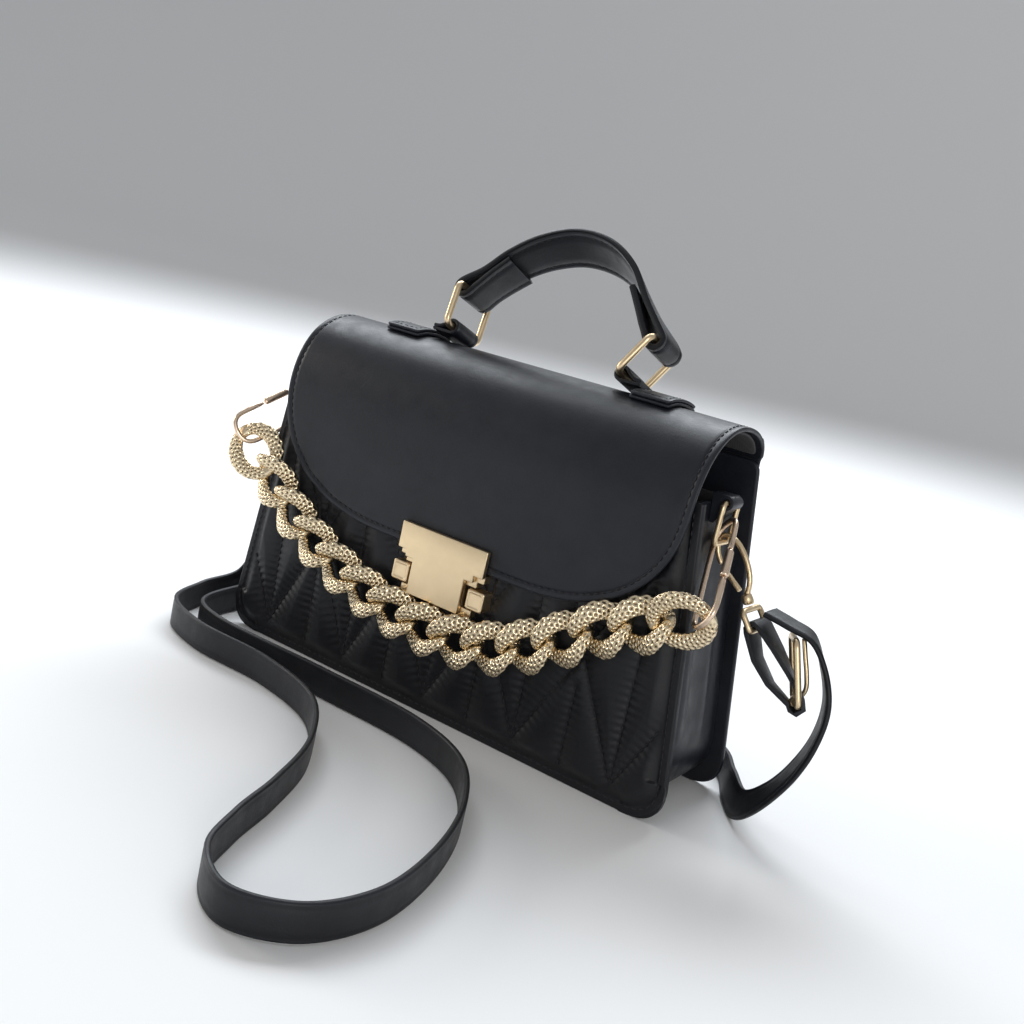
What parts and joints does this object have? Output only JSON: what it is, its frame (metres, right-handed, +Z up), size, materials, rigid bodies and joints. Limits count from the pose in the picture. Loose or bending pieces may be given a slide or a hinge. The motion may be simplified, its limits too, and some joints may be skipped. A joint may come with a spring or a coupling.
{
  "type": "crossbody purse",
  "caption": "Small trapezoid leather crossbody purse with a quilted front, a curved flap with a press lock, a curb chain, a top handle and a long strap.",
  "frame": {"origin": "middle of the base, on the surface that the bag stands on", "axes": "+X to the right of somebody looking at the front, +Z up, the front faces -Y"},
  "size_m": [0.2758, 0.2461, 0.1971],
  "materials": {
    "leather": "smooth calf, satin",
    "quilted_leather": "quilted and padded, satin",
    "strap_leather": "smooth with sealed edges, satin",
    "lining": "woven twill",
    "board": "pressed fibre board",
    "gold": "pale gold plate, polished",
    "chain_gold": "pale gold plate, beaded",
    "rose_gold": "rose gold plate, polished"
  },
  "bodies": {
    "bag": {"front_panel": "quilted_leather", "back_panel": "leather", "front_board": "board", "back_board": "board", "gusset": "leather", "base_board": "board", "lining": "lining", "slip_pocket": "lining", "lock_base": "gold", "side_ring_left": "gold", "side_ring_right": "gold", "side_tab_left": "leather", "side_tab_right": "leather", "snap_hook_left": "gold", "snap_hook_right": "gold", "snap_eye_left": "gold", "snap_eye_right": "gold", "strap": "strap_leather", "buckle_frame": "gold", "buckle_strap": "strap_leather", "buckle_prong": "gold"},
    "flap": {"flap_top": "leather", "flap_top_lining": "lining", "handle_tab_left": "leather", "handle_tab_right": "leather"},
    "flap_front": {"flap_front": "leather", "flap_front_lining": "lining", "lock_plate": "gold"},
    "handle": {"handle_loop_left": "leather", "handle_loop_right": "leather", "handle_ring_left": "gold", "handle_ring_right": "gold", "handle_band": "leather"},
    "chain": {"chain_end_left": "chain_gold", "chain_end_right": "chain_gold", "chain_link_01": "chain_gold", "chain_link_02": "chain_gold", "chain_link_03": "chain_gold", "chain_link_04": "chain_gold", "chain_link_05": "chain_gold", "chain_link_06": "chain_gold", "chain_link_07": "chain_gold", "chain_link_08": "chain_gold", "chain_link_09": "chain_gold", "chain_link_10": "chain_gold", "chain_link_11": "chain_gold", "chain_link_12": "chain_gold", "chain_link_13": "chain_gold", "oval_ring_left": "rose_gold", "oval_ring_right": "rose_gold"},
    "lock_button_left": {"lock_button_left": "gold"},
    "oval_gate_left": {"oval_gate_left": "rose_gold"},
    "snap_gate_left": {"snap_gate_left": "gold"},
    "lock_button_right": {"lock_button_right": "gold"},
    "oval_gate_right": {"oval_gate_right": "rose_gold"},
    "snap_gate_right": {"snap_gate_right": "gold"}
  },
  "joints": [
    {"name": "flap_open", "type": "hinge", "parent": "bag", "child": "flap", "pos_m": [0, 0.0195, 0.1293], "axis": [-1, 0, 0], "range_deg": [0, 110]},
    {"name": "flap_fold", "type": "hinge", "parent": "flap", "child": "flap_front", "pos_m": [0, -0.0301, 0.126], "axis": [-1, 0, 0], "range_deg": [0, 50]},
    {"name": "handle_lean", "type": "hinge", "parent": "flap", "child": "handle", "pos_m": [0, 0.004, 0.1454], "axis": [1, 0, 0], "range_deg": [0, 18]},
    {"name": "chain_swing", "type": "hinge", "parent": "bag", "child": "chain", "pos_m": [0, -0.011, 0.1035], "axis": [-1, 0, 0], "range_deg": [0, 12]},
    {"name": "lock_button_left_press", "type": "slide", "parent": "bag", "child": "lock_button_left", "axis": [1, 0, 0], "range_m": [0, 0.0015], "stiffness_N_per_m": 250},
    {"name": "lock_button_right_press", "type": "slide", "parent": "bag", "child": "lock_button_right", "axis": [-1, 0, 0], "range_m": [0, 0.0015], "stiffness_N_per_m": 250},
    {"name": "oval_gate_left_open", "type": "hinge", "parent": "chain", "child": "oval_gate_left", "pos_m": [-0.10374, -0.0218, 0.10437], "axis": [0.7922, -0.4891, 0.365], "range_deg": [0, 15], "stiffness_Nm_per_rad": 0.004},
    {"name": "oval_gate_right_open", "type": "hinge", "parent": "chain", "child": "oval_gate_right", "pos_m": [0.10468, -0.02121, 0.10153], "axis": [0.7404, 0.585, -0.331], "range_deg": [0, 15], "stiffness_Nm_per_rad": 0.004},
    {"name": "snap_gate_left_open", "type": "hinge", "parent": "bag", "child": "snap_gate_left", "pos_m": [-0.10555, -0.0032, 0.08534], "axis": [0, -1, 0], "range_deg": [0, 20], "stiffness_Nm_per_rad": 0.004},
    {"name": "snap_gate_right_open", "type": "hinge", "parent": "bag", "child": "snap_gate_right", "pos_m": [0.10555, -0.0032, 0.08534], "axis": [0, 1, 0], "range_deg": [0, 20], "stiffness_Nm_per_rad": 0.004}
  ]
}
